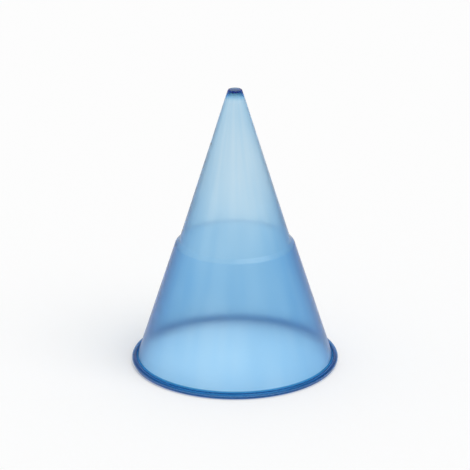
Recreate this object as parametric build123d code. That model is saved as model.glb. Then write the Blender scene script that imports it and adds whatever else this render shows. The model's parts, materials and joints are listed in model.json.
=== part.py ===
"""A plastic cone cup of translucent blue plastic, formed in one piece and stood on its rim."""
from build123d import *
import os
from math import acos, asin, atan2, cos, hypot, pi, sin

# The cup's own sizes, in millimetres, with heights measured along its axis from the closed end.
RIM_DIAMETER = 72.0
CUP_HEIGHT = 98.4
BEAD_DIAMETER = 2.1
CURL_GAP = 0.15
CURL_FLATS = 15

# The stacking step, where the wall turns in part way down.
STEP_HEIGHT = 55.2
STEP_DIAMETER = 41.2
STEP_LEDGE = 1.45
STEP_DROP = 1.2
STEP_ROUND = 0.9

# The wall is drawn thinner the deeper it goes.
WALL_UPPER = 0.34
WALL_UNDER_STEP = 0.24
WALL_THIN = 0.13
THIN_HEIGHT = 28.0

# The closed end is a thick solid plug with a flat face.
END_DIAMETER = 4.8
END_ROUND = 0.5
FLOOR_HEIGHT = 0.9
FLOOR_DIAMETER = 3.6
PLUG_HEIGHT = 3.2

# The point can't carry the cup, so it stands mouth down.
HALF_TURN = 180

RIM_RADIUS = RIM_DIAMETER / 2
BEAD_RADIUS = BEAD_DIAMETER / 2
BEAD_CENTRE = (RIM_RADIUS - BEAD_RADIUS, CUP_HEIGHT - BEAD_RADIUS)
CURL_INNER_RADIUS = BEAD_RADIUS - WALL_UPPER


def lean(start, end):
    """Angle from the cup's axis of the line between two points, each a radius and a height."""
    return atan2(end[0] - start[0], end[1] - start[1])


def distance(start, end):
    """Straight distance between two points of the section."""
    return hypot(end[0] - start[0], end[1] - start[1])


def inward(point, angle, depth):
    """The point that lies so deep behind an outer face that leans at the angle."""
    return (point[0] - depth * cos(angle), point[1] + depth * sin(angle))


def crossing(first, first_angle, second, second_angle):
    """Where two lines meet, each given by a point and its lean."""
    gap = (second[0] - first[0], second[1] - first[1])
    turn = sin(first_angle) * cos(second_angle) - cos(first_angle) * sin(second_angle)
    reach = (gap[0] * cos(second_angle) - gap[1] * sin(second_angle)) / turn
    return (first[0] + reach * sin(first_angle), first[1] + reach * cos(first_angle))


# The outer corners of the section, and the lean of each outer face.
END_EDGE = (END_DIAMETER / 2, 0.0)
STEP_TOP = (STEP_DIAMETER / 2, STEP_HEIGHT)
STEP_FOOT = (STEP_DIAMETER / 2 - STEP_LEDGE, STEP_HEIGHT - STEP_DROP)
LOWER_LEAN = lean(END_EDGE, STEP_FOOT)
STEP_LEAN = lean(STEP_FOOT, STEP_TOP)
UPPER_LEAN = lean(STEP_TOP, BEAD_CENTRE) - asin(CURL_INNER_RADIUS / distance(STEP_TOP, BEAD_CENTRE))


def outer_at(height):
    """The point of the lower cone's outer face at a height."""
    return crossing(END_EDGE, LOWER_LEAN, (0.0, height), pi / 2)


def curl(radius):
    """Points round the rolled rim, from the wall over the top, out and down, to the lip just short of the wall."""
    slit = acos((CURL_INNER_RADIUS - CURL_GAP) / BEAD_RADIUS)
    turn = (2 * pi - slit) / CURL_FLATS
    angles = [pi - UPPER_LEAN - turn * flat for flat in range(CURL_FLATS + 1)]
    return [(BEAD_CENTRE[0] + radius * cos(angle), BEAD_CENTRE[1] + radius * sin(angle)) for angle in angles]


def rounded(section, corner, radius):
    """The section with the corner nearest to a point rounded off."""
    vertex = section.vertices().sort_by_distance(Vector(corner[0], corner[1]))[0]
    return fillet(vertex, radius)


def wall_section():
    """Half the cup's section: radius to the right and height upwards."""
    step_top_in = crossing(
        inward(STEP_TOP, UPPER_LEAN, WALL_UPPER), UPPER_LEAN,
        inward(STEP_TOP, STEP_LEAN, WALL_UNDER_STEP), STEP_LEAN)
    step_foot_in = crossing(
        inward(STEP_FOOT, LOWER_LEAN, WALL_UNDER_STEP), LOWER_LEAN,
        inward(STEP_FOOT, STEP_LEAN, WALL_UNDER_STEP), STEP_LEAN)
    thin_in = inward(outer_at(THIN_HEIGHT), LOWER_LEAN, WALL_THIN)
    plug_top_in = inward(outer_at(PLUG_HEIGHT), LOWER_LEAN, WALL_THIN)
    floor_edge = (FLOOR_DIAMETER / 2, FLOOR_HEIGHT)
    outer_face = [(0, 0), END_EDGE, STEP_FOOT, STEP_TOP]
    rim = curl(CURL_INNER_RADIUS) + curl(BEAD_RADIUS)[::-1]
    inner_face = [step_top_in, step_foot_in, thin_in, plug_top_in, floor_edge, (0, FLOOR_HEIGHT)]
    section = make_face(Polyline(*outer_face, *rim, *inner_face, close=True))
    section = rounded(section, STEP_TOP, STEP_ROUND)
    return rounded(section, END_EDGE, END_ROUND)


def turn_over(cup):
    """The cup mouth down, standing on its rim over the spot where its axis meets the surface."""
    turned = Rot(HALF_TURN, 0, 0) * cup
    return Pos(0, 0, -turned.bounding_box().min.Z) * turned


cup = revolve(Plane.XZ * wall_section(), Axis.Z)
cup = turn_over(cup)
cup.label = "cup"

os.makedirs("parts", exist_ok=True)
export_step(cup, "parts/cup.step")
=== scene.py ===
import bpy
import json
from math import acos, asin, atan2, cos, hypot, pi, radians, sin
from mathutils import Matrix, Vector


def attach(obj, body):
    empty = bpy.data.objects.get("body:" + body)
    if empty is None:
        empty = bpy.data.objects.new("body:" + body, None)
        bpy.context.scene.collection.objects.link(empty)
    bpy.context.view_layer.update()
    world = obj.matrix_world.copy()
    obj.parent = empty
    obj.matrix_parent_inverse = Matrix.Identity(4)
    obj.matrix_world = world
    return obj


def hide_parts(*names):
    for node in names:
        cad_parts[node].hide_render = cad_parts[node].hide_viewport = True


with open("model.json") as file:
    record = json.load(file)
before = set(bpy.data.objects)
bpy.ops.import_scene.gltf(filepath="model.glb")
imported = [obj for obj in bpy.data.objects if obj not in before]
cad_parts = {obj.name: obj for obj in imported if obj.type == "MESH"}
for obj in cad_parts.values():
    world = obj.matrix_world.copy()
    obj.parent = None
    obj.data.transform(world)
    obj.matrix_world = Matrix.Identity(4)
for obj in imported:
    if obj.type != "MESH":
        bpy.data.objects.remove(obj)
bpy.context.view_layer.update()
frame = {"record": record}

MM = 0.001

# The cup's own sizes, with heights measured along its axis from the closed end.
RIM_RADIUS = 36.0 * MM
CUP_HEIGHT = 98.4 * MM
BEAD_RADIUS = 1.05 * MM
CURL_GAP = 0.15 * MM
STEP_HEIGHT = 55.2 * MM
STEP_RADIUS = 20.6 * MM
STEP_LEDGE = 1.45 * MM
STEP_DROP = 1.2 * MM
STEP_ROUND = 0.9 * MM
STEP_FOOT_ROUND = 0.5 * MM
WALL_UPPER = 0.34 * MM
WALL_UNDER_STEP = 0.24 * MM
WALL_THIN = 0.13 * MM
THIN_HEIGHT = 28.0 * MM
END_RADIUS = 2.4 * MM
END_ROUND = 0.5 * MM
FLOOR_HEIGHT = 0.9 * MM
FLOOR_RADIUS = 1.8 * MM
FLOOR_ROUND = 0.4 * MM
PLUG_HEIGHT = 3.2 * MM
BEAD_CENTRE = (RIM_RADIUS - BEAD_RADIUS, CUP_HEIGHT - BEAD_RADIUS)
CURL_INNER_RADIUS = BEAD_RADIUS - WALL_UPPER

# How finely the wall is turned: sides round the cup, and the angle between points on a round.
CUP_SIDES = 192
CURL_STEP = radians(12)
ROUND_STEP = radians(15)
FEWEST_ROUND_STEPS = 2
SHARP_EDGE = radians(35)

# The plastic: blue by its depth, and a little milky, with a thin gloss over it.
BLUE_DEPTH = (0.006, 0.57, 0.89, 1)
BLUE_STRENGTH = 1550
CLEAR_SHARE = 1.0
BEND = 1.13
WALL_TONE = (0.975, 0.968, 0.96, 1)
CLOUD_TONE = (0.78, 0.87, 0.92, 1)
# Painted shade over the rolled rim: a deeper blue, partly for a thicker roll of plastic than the
# wall has and partly for the dark lines that refraction gives at the rim's sides.
RIM_DEPTH_AND_SHADE = (0.12, 0.42, 0.6, 1)
# Painted highlight: the rim's crown left light, as the line where the room is reflected along it.
CROWN_HIGHLIGHT = (1.0, 1.0, 1.0, 1)
# Painted shade: the closed end darkened in every colour, for the darkness that refraction gives
# the thick plug.
END_SHADE = (0.52, 0.5, 0.44, 1)
WALL_ROUGHNESS = 0.31
ROUGHNESS_PLAY = 0.02
SMOOTH_ROUGHNESS = 0.04
WALL_GLOSS = 0.3
RIM_GLOSS = 0.1
CROWN_GLOSS = 1.0
GLOSS_ROUGHNESS = 0.1

# Where the plastic changes from none to full, and where the painted shade of the rim and of the
# closed end comes in: heights for the rim, depths for the closed end.
RIM_BAND = (2.3 * MM, 1.9 * MM)
END_BAND = (2.6 * MM, 0.6 * MM)

# The light line along the rim's crown, a painted highlight that also carries the strongest gloss:
# the heights where it ends and where it is strongest.
CROWN_BAND = (0.5 * MM, 1.6 * MM)
CROWN_MIDDLE = 1.1 * MM

# The faint streaks and clouds that forming leaves in the wall.
STREAKS_ROUND = 5.0
STREAK_LENGTH = 24.0
STREAK_DETAIL = 1
STREAK_SHARE = 0.5
STREAK_DEPTH = 0.03 * MM
RIPPLE_STRENGTH = 0.02
CLOUD_SIZE = 26.0
CLOUD_DETAIL = 2
NOISE_RANGE = (0.3, 0.7)

# The room: a white floor a hair under the cup, even light all round, a soft lamp from the right.
FLOOR_SIZE = 6.0
FLOOR_GAP = 0.05 * MM
FLOOR_TONE = (0.8, 0.8, 0.8, 1)
FLOOR_FILL = 0.235
ROOM_LIGHT = 0.6
KEY_WAY = (1.2, -0.8, 2.2)
KEY_SPREAD = radians(50)
KEY_STRENGTH = 1.25
WHITE = (1, 1, 1, 1)

# The camera looks down on the cup as steeply as the photograph does.
CAMERA_RISE = radians(20.5)
CAMERA_REACH = 898 * MM
CAMERA_AIM = Vector((0.0, 0.0, 46.0)) * MM
CAMERA_LENS = 200
CAMERA_NEAR = 0.05
CAMERA_FAR = 20

# The sockets of Blender's mix node that hold its two colours and its result.
MIX_FIRST, MIX_SECOND, MIX_RESULT = 6, 7, 2


def lean(start, end):
    """Angle from the cup's axis of the line between two points, each a radius and a height."""
    return atan2(end[0] - start[0], end[1] - start[1])


def inward(point, angle, depth):
    """The point that lies so deep behind an outer face that leans at the angle."""
    return (point[0] - depth * cos(angle), point[1] + depth * sin(angle))


def crossing(first, first_angle, second, second_angle):
    """Where two lines meet, each given by a point and its lean."""
    gap = (second[0] - first[0], second[1] - first[1])
    turn = sin(first_angle) * cos(second_angle) - cos(first_angle) * sin(second_angle)
    reach = (gap[0] * cos(second_angle) - gap[1] * sin(second_angle)) / turn
    return (first[0] + reach * sin(first_angle), first[1] + reach * cos(first_angle))


END_EDGE = (END_RADIUS, 0.0)
STEP_TOP = (STEP_RADIUS, STEP_HEIGHT)
STEP_FOOT = (STEP_RADIUS - STEP_LEDGE, STEP_HEIGHT - STEP_DROP)
LOWER_LEAN = lean(END_EDGE, STEP_FOOT)
STEP_LEAN = lean(STEP_FOOT, STEP_TOP)
STEP_TO_BEAD = hypot(BEAD_CENTRE[0] - STEP_TOP[0], BEAD_CENTRE[1] - STEP_TOP[1])
UPPER_LEAN = lean(STEP_TOP, BEAD_CENTRE) - asin(CURL_INNER_RADIUS / STEP_TO_BEAD)


def curl(radius):
    """Points round the rolled rim, from the wall over the top, out and down to the lip."""
    slit = acos((CURL_INNER_RADIUS - CURL_GAP) / BEAD_RADIUS)
    sweep = 2 * pi - slit
    count = round(sweep / CURL_STEP)
    angles = [pi - UPPER_LEAN - sweep * step / count for step in range(count + 1)]
    return [(BEAD_CENTRE[0] + radius * cos(a), BEAD_CENTRE[1] + radius * sin(a)) for a in angles]


def rounded(before, corner, after, radius):
    """Points of the arc that rounds off a corner of the section."""
    into = Vector(before) - Vector(corner)
    out = Vector(after) - Vector(corner)
    into.normalize()
    out.normalize()
    half = into.angle(out) / 2
    middle = (into + out).normalized()
    centre = Vector(corner) + middle * (radius / sin(half))
    start = Vector(corner) + into * (radius * cos(half) / sin(half)) - centre
    sweep = pi - 2 * half
    side = 1 if into.x * out.y - into.y * out.x < 0 else -1
    count = max(FEWEST_ROUND_STEPS, round(sweep / ROUND_STEP))
    turns = [Matrix.Rotation(side * sweep * step / count, 2) for step in range(count + 1)]
    return [tuple(centre + turn @ start) for turn in turns]


def lower_wall_in(height):
    """The point of the lower cone's inner face behind a height of its outer face."""
    outer = crossing(END_EDGE, LOWER_LEAN, (0.0, height), pi / 2)
    return inward(outer, LOWER_LEAN, WALL_THIN)


def wall_section():
    """The wall's outline: from the flat end up the outside, round the curl and down the inside."""
    step_top_in = crossing(
        inward(STEP_TOP, UPPER_LEAN, WALL_UPPER), UPPER_LEAN,
        inward(STEP_TOP, STEP_LEAN, WALL_UNDER_STEP), STEP_LEAN)
    step_foot_in = crossing(
        inward(STEP_FOOT, LOWER_LEAN, WALL_UNDER_STEP), LOWER_LEAN,
        inward(STEP_FOOT, STEP_LEAN, WALL_UNDER_STEP), STEP_LEAN)
    thin_in = lower_wall_in(THIN_HEIGHT)
    plug_in = lower_wall_in(PLUG_HEIGHT)
    floor_edge = (FLOOR_RADIUS, FLOOR_HEIGHT)
    inside, outside = curl(CURL_INNER_RADIUS), curl(BEAD_RADIUS)
    points = rounded((0, 0), END_EDGE, STEP_FOOT, END_ROUND)
    points += rounded(END_EDGE, STEP_FOOT, STEP_TOP, STEP_FOOT_ROUND)
    points += rounded(STEP_FOOT, STEP_TOP, inside[0], STEP_ROUND)
    points += inside + outside[::-1]
    points += rounded(outside[0], step_top_in, step_foot_in, STEP_FOOT_ROUND)
    points += rounded(step_top_in, step_foot_in, thin_in, STEP_ROUND)
    points += [thin_in, plug_in]
    points += rounded(plug_in, floor_edge, (0, FLOOR_HEIGHT), FLOOR_ROUND)
    return points


def turn_wall(points):
    """The whole wall as one closed skin, drawn up ring by ring from a flat round blank."""
    bpy.ops.object.select_all(action="DESELECT")
    radius, height = points[0]
    bpy.ops.mesh.primitive_circle_add(
        vertices=CUP_SIDES, radius=radius, fill_type="NGON", location=(0, 0, height))
    cup = bpy.context.object
    bpy.ops.object.transform_apply(location=True)
    bpy.ops.object.mode_set(mode="EDIT")
    bpy.ops.mesh.select_mode(type="FACE")
    bpy.ops.mesh.select_all(action="SELECT")
    for next_radius, next_height in points[1:]:
        lift = (0, 0, next_height - height)
        bpy.ops.mesh.extrude_region_move(TRANSFORM_OT_translate={"value": lift})
        spread = next_radius / radius
        bpy.ops.transform.resize(value=(spread, spread, 1), center_override=(0, 0, next_height))
        radius, height = next_radius, next_height
    bpy.ops.mesh.select_all(action="SELECT")
    bpy.ops.mesh.normals_make_consistent(inside=False)
    bpy.ops.object.mode_set(mode="OBJECT")
    bpy.ops.object.shade_smooth_by_angle(angle=SHARP_EDGE)
    return cup


def closed_end():
    """The place of the closed end's flat face, which is the top of the cup as it stands."""
    found = next(m for m in frame["record"]["mounts"] if m["name"] == "closed_end")
    return Vector(found["pos_m"])


def turn_over(cup):
    """The cup stood mouth down where the solid stands, with its place kept in its mesh."""
    cup.rotation_euler = (pi, 0, 0)
    cup.location = closed_end()
    bpy.ops.object.transform_apply(location=True, rotation=True)


def soft_change(nodes, links, value, none_at, full_at):
    """Zero at one value and one at the other, with a soft change between."""
    node = nodes.new("ShaderNodeMapRange")
    node.interpolation_type = "SMOOTHSTEP"
    node.inputs["From Min"].default_value = none_at
    node.inputs["From Max"].default_value = full_at
    links.new(value, node.inputs["Value"])
    return node.outputs["Result"]


def feed(links, socket, value):
    """A socket fed by another socket, or set to a plain colour or number."""
    if isinstance(value, bpy.types.NodeSocket):
        links.new(value, socket)
    else:
        socket.default_value = value


def blend(nodes, links, amount, first, second):
    """The first colour where the amount is zero and the second where it is one."""
    node = nodes.new("ShaderNodeMix")
    node.data_type = "RGBA"
    links.new(amount, node.inputs["Factor"])
    feed(links, node.inputs[MIX_FIRST], first)
    feed(links, node.inputs[MIX_SECOND], second)
    return node.outputs[MIX_RESULT]


def between(nodes, links, amount, first, second):
    """The first number where the amount is zero and the second where it is one."""
    node = nodes.new("ShaderNodeMapRange")
    links.new(amount, node.inputs["Value"])
    feed(links, node.inputs["To Min"], first)
    feed(links, node.inputs["To Max"], second)
    return node.outputs["Result"]


def streaks(nodes, links, place):
    """Faint uneven streaks that run down the wall from the rim to the point."""
    flat = nodes.new("ShaderNodeVectorMath")
    flat.operation = "MULTIPLY"
    flat.inputs[1].default_value = (1, 1, 0)
    links.new(place, flat.inputs[0])
    way = nodes.new("ShaderNodeVectorMath")
    way.operation = "NORMALIZE"
    links.new(flat.outputs[0], way.inputs[0])
    round_cup = nodes.new("ShaderNodeVectorMath")
    round_cup.operation = "SCALE"
    round_cup.inputs["Scale"].default_value = STREAKS_ROUND
    links.new(way.outputs[0], round_cup.inputs[0])
    along = nodes.new("ShaderNodeVectorMath")
    along.operation = "MULTIPLY_ADD"
    along.inputs[1].default_value = (0, 0, STREAK_LENGTH)
    links.new(place, along.inputs[0])
    links.new(round_cup.outputs[0], along.inputs[2])
    noise = nodes.new("ShaderNodeTexNoise")
    noise.inputs["Scale"].default_value = 1
    noise.inputs["Detail"].default_value = STREAK_DETAIL
    links.new(along.outputs[0], noise.inputs["Vector"])
    return soft_change(nodes, links, noise.outputs["Fac"], *NOISE_RANGE)


def clouds(nodes, links, place):
    """Soft patches where the wall is a little deeper in colour."""
    noise = nodes.new("ShaderNodeTexNoise")
    noise.inputs["Scale"].default_value = CLOUD_SIZE
    noise.inputs["Detail"].default_value = CLOUD_DETAIL
    links.new(place, noise.inputs["Vector"])
    return soft_change(nodes, links, noise.outputs["Fac"], *NOISE_RANGE)


def crown_highlight_and_gloss(nodes, links, height):
    """One along the crown of the rolled rim, fading to zero above and below it: the place of the
    painted highlight and the strongest gloss.
    """
    line = nodes.new("ShaderNodeMath")
    line.operation = "MULTIPLY"
    for edge, socket in zip(CROWN_BAND, line.inputs):
        links.new(soft_change(nodes, links, height, edge, CROWN_MIDDLE), socket)
    return line.outputs[0]


def wall_colour(nodes, links, streak, cloud):
    """The wall's tone, a little deeper in the clouds and the streaks."""
    patches = nodes.new("ShaderNodeMath")
    patches.operation = "MULTIPLY_ADD"
    links.new(streak, patches.inputs[0])
    patches.inputs[1].default_value = STREAK_SHARE
    links.new(cloud, patches.inputs[2])
    uneven = soft_change(nodes, links, patches.outputs[0], 0, 1 + STREAK_SHARE)
    return blend(nodes, links, uneven, WALL_TONE, CLOUD_TONE)


def blue_plastic():
    """Clear blue plastic: coloured by its depth, smooth only at the rim and the closed end, with
    painted shade there and a painted highlight along the rim's crown.
    """
    material = bpy.data.materials.new("blue_plastic")
    material.use_nodes = True
    nodes, links = material.node_tree.nodes, material.node_tree.links
    shader = nodes["Principled BSDF"]
    shader.inputs["Coat Roughness"].default_value = GLOSS_ROUGHNESS
    shader.inputs["Transmission Weight"].default_value = CLEAR_SHARE
    shader.inputs["IOR"].default_value = BEND

    place = nodes.new("ShaderNodeTexCoord").outputs["Object"]
    split = nodes.new("ShaderNodeSeparateXYZ")
    links.new(place, split.inputs[0])
    height = split.outputs["Z"]
    top = closed_end().z
    rim = soft_change(nodes, links, height, *RIM_BAND)
    end = soft_change(nodes, links, height, top - END_BAND[0], top - END_BAND[1])
    crown = crown_highlight_and_gloss(nodes, links, height)
    streak = streaks(nodes, links, place)
    cloud = clouds(nodes, links, place)

    tone = wall_colour(nodes, links, streak, cloud)
    # The rim's painted shade, with a painted highlight along its crown.
    rim_shade_and_highlight = blend(nodes, links, crown, RIM_DEPTH_AND_SHADE, CROWN_HIGHLIGHT)
    tone = blend(nodes, links, rim, tone, rim_shade_and_highlight)
    # The closed end darkened by painted shade.
    links.new(blend(nodes, links, end, tone, END_SHADE), shader.inputs["Base Color"])

    smoother, rougher = WALL_ROUGHNESS - ROUGHNESS_PLAY, WALL_ROUGHNESS + ROUGHNESS_PLAY
    rough = between(nodes, links, streak, smoother, rougher)
    rough = between(nodes, links, rim, rough, SMOOTH_ROUGHNESS)
    links.new(between(nodes, links, end, rough, SMOOTH_ROUGHNESS), shader.inputs["Roughness"])

    gloss = between(nodes, links, crown, RIM_GLOSS, CROWN_GLOSS)
    links.new(between(nodes, links, rim, WALL_GLOSS, gloss), shader.inputs["Coat Weight"])

    ripple = nodes.new("ShaderNodeBump")
    ripple.inputs["Strength"].default_value = RIPPLE_STRENGTH
    ripple.inputs["Distance"].default_value = STREAK_DEPTH
    links.new(streak, ripple.inputs["Height"])
    links.new(ripple.outputs[0], shader.inputs["Normal"])

    tint = nodes.new("ShaderNodeVolumeAbsorption")
    tint.inputs["Color"].default_value = BLUE_DEPTH
    tint.inputs["Density"].default_value = BLUE_STRENGTH
    links.new(tint.outputs[0], nodes["Material Output"].inputs["Volume"])
    return material


def seen_rays(nodes, links):
    """One for what the camera sees, also mirrored or through the plastic, and zero for light."""
    path = nodes.new("ShaderNodeLightPath")
    seen = path.outputs["Is Camera Ray"]
    for other in ("Is Glossy Ray", "Is Transmission Ray"):
        either = nodes.new("ShaderNodeMath")
        either.operation = "MAXIMUM"
        links.new(seen, either.inputs[0])
        links.new(path.outputs[other], either.inputs[1])
        seen = either.outputs[0]
    return seen


def white_room():
    """Soft even light from all round, over a white background."""
    world = bpy.data.worlds.new("white_room")
    bpy.context.scene.world = world
    world.use_nodes = True
    nodes, links = world.node_tree.nodes, world.node_tree.links
    background = nodes["Background"]
    background.inputs["Color"].default_value = WHITE
    level = nodes.new("ShaderNodeMapRange")
    level.inputs["To Min"].default_value = ROOM_LIGHT
    level.inputs["To Max"].default_value = 1
    links.new(seen_rays(nodes, links), level.inputs["Value"])
    links.new(level.outputs[0], background.inputs["Strength"])


def pale_floor():
    """A wide white floor, which is just white in plain light and takes the cup's shadow."""
    bpy.ops.object.select_all(action="DESELECT")
    bpy.ops.mesh.primitive_plane_add(size=FLOOR_SIZE, location=(0, 0, -FLOOR_GAP))
    floor = bpy.context.object
    floor.name = "floor"
    bpy.ops.object.transform_apply(location=True)
    material = bpy.data.materials.new("white_floor")
    material.use_nodes = True
    nodes, links = material.node_tree.nodes, material.node_tree.links
    shader = nodes["Principled BSDF"]
    shader.inputs["Base Color"].default_value = FLOOR_TONE
    shader.inputs["Roughness"].default_value = 1
    shader.inputs["Specular IOR Level"].default_value = 0
    shader.inputs["Emission Color"].default_value = WHITE
    fill = nodes.new("ShaderNodeMath")
    fill.operation = "MULTIPLY"
    fill.inputs[1].default_value = FLOOR_FILL
    links.new(seen_rays(nodes, links), fill.inputs[0])
    links.new(fill.outputs[0], shader.inputs["Emission Strength"])
    floor.data.materials.append(material)


def key_lamp():
    """A very wide soft lamp so far off that it lights the whole floor alike."""
    data = bpy.data.lights.new("key", "SUN")
    data.angle = KEY_SPREAD
    data.energy = KEY_STRENGTH
    lamp = bpy.data.objects.new("key", data)
    bpy.context.scene.collection.objects.link(lamp)
    lamp.rotation_euler = Vector(KEY_WAY).to_track_quat("Z", "Y").to_euler()


def camera():
    """The camera at the photograph's distance, angle and lens."""
    data = bpy.data.cameras.new("camera")
    data.lens = CAMERA_LENS
    data.clip_start = CAMERA_NEAR
    data.clip_end = CAMERA_FAR
    eye = bpy.data.objects.new("camera", data)
    bpy.context.scene.collection.objects.link(eye)
    away = Vector((0, -cos(CAMERA_RISE), sin(CAMERA_RISE)))
    eye.location = CAMERA_AIM + CAMERA_REACH * away
    eye.rotation_euler = (-away).to_track_quat("-Z", "Y").to_euler()
    bpy.context.scene.camera = eye


cup = turn_wall(wall_section())
cup.name = "cup_wall"
turn_over(cup)
cup.data.materials.append(blue_plastic())
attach(cup, "root")
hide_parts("cup")

white_room()
pale_floor()
key_lamp()
camera()
bpy.context.scene.view_settings.view_transform = "Standard"
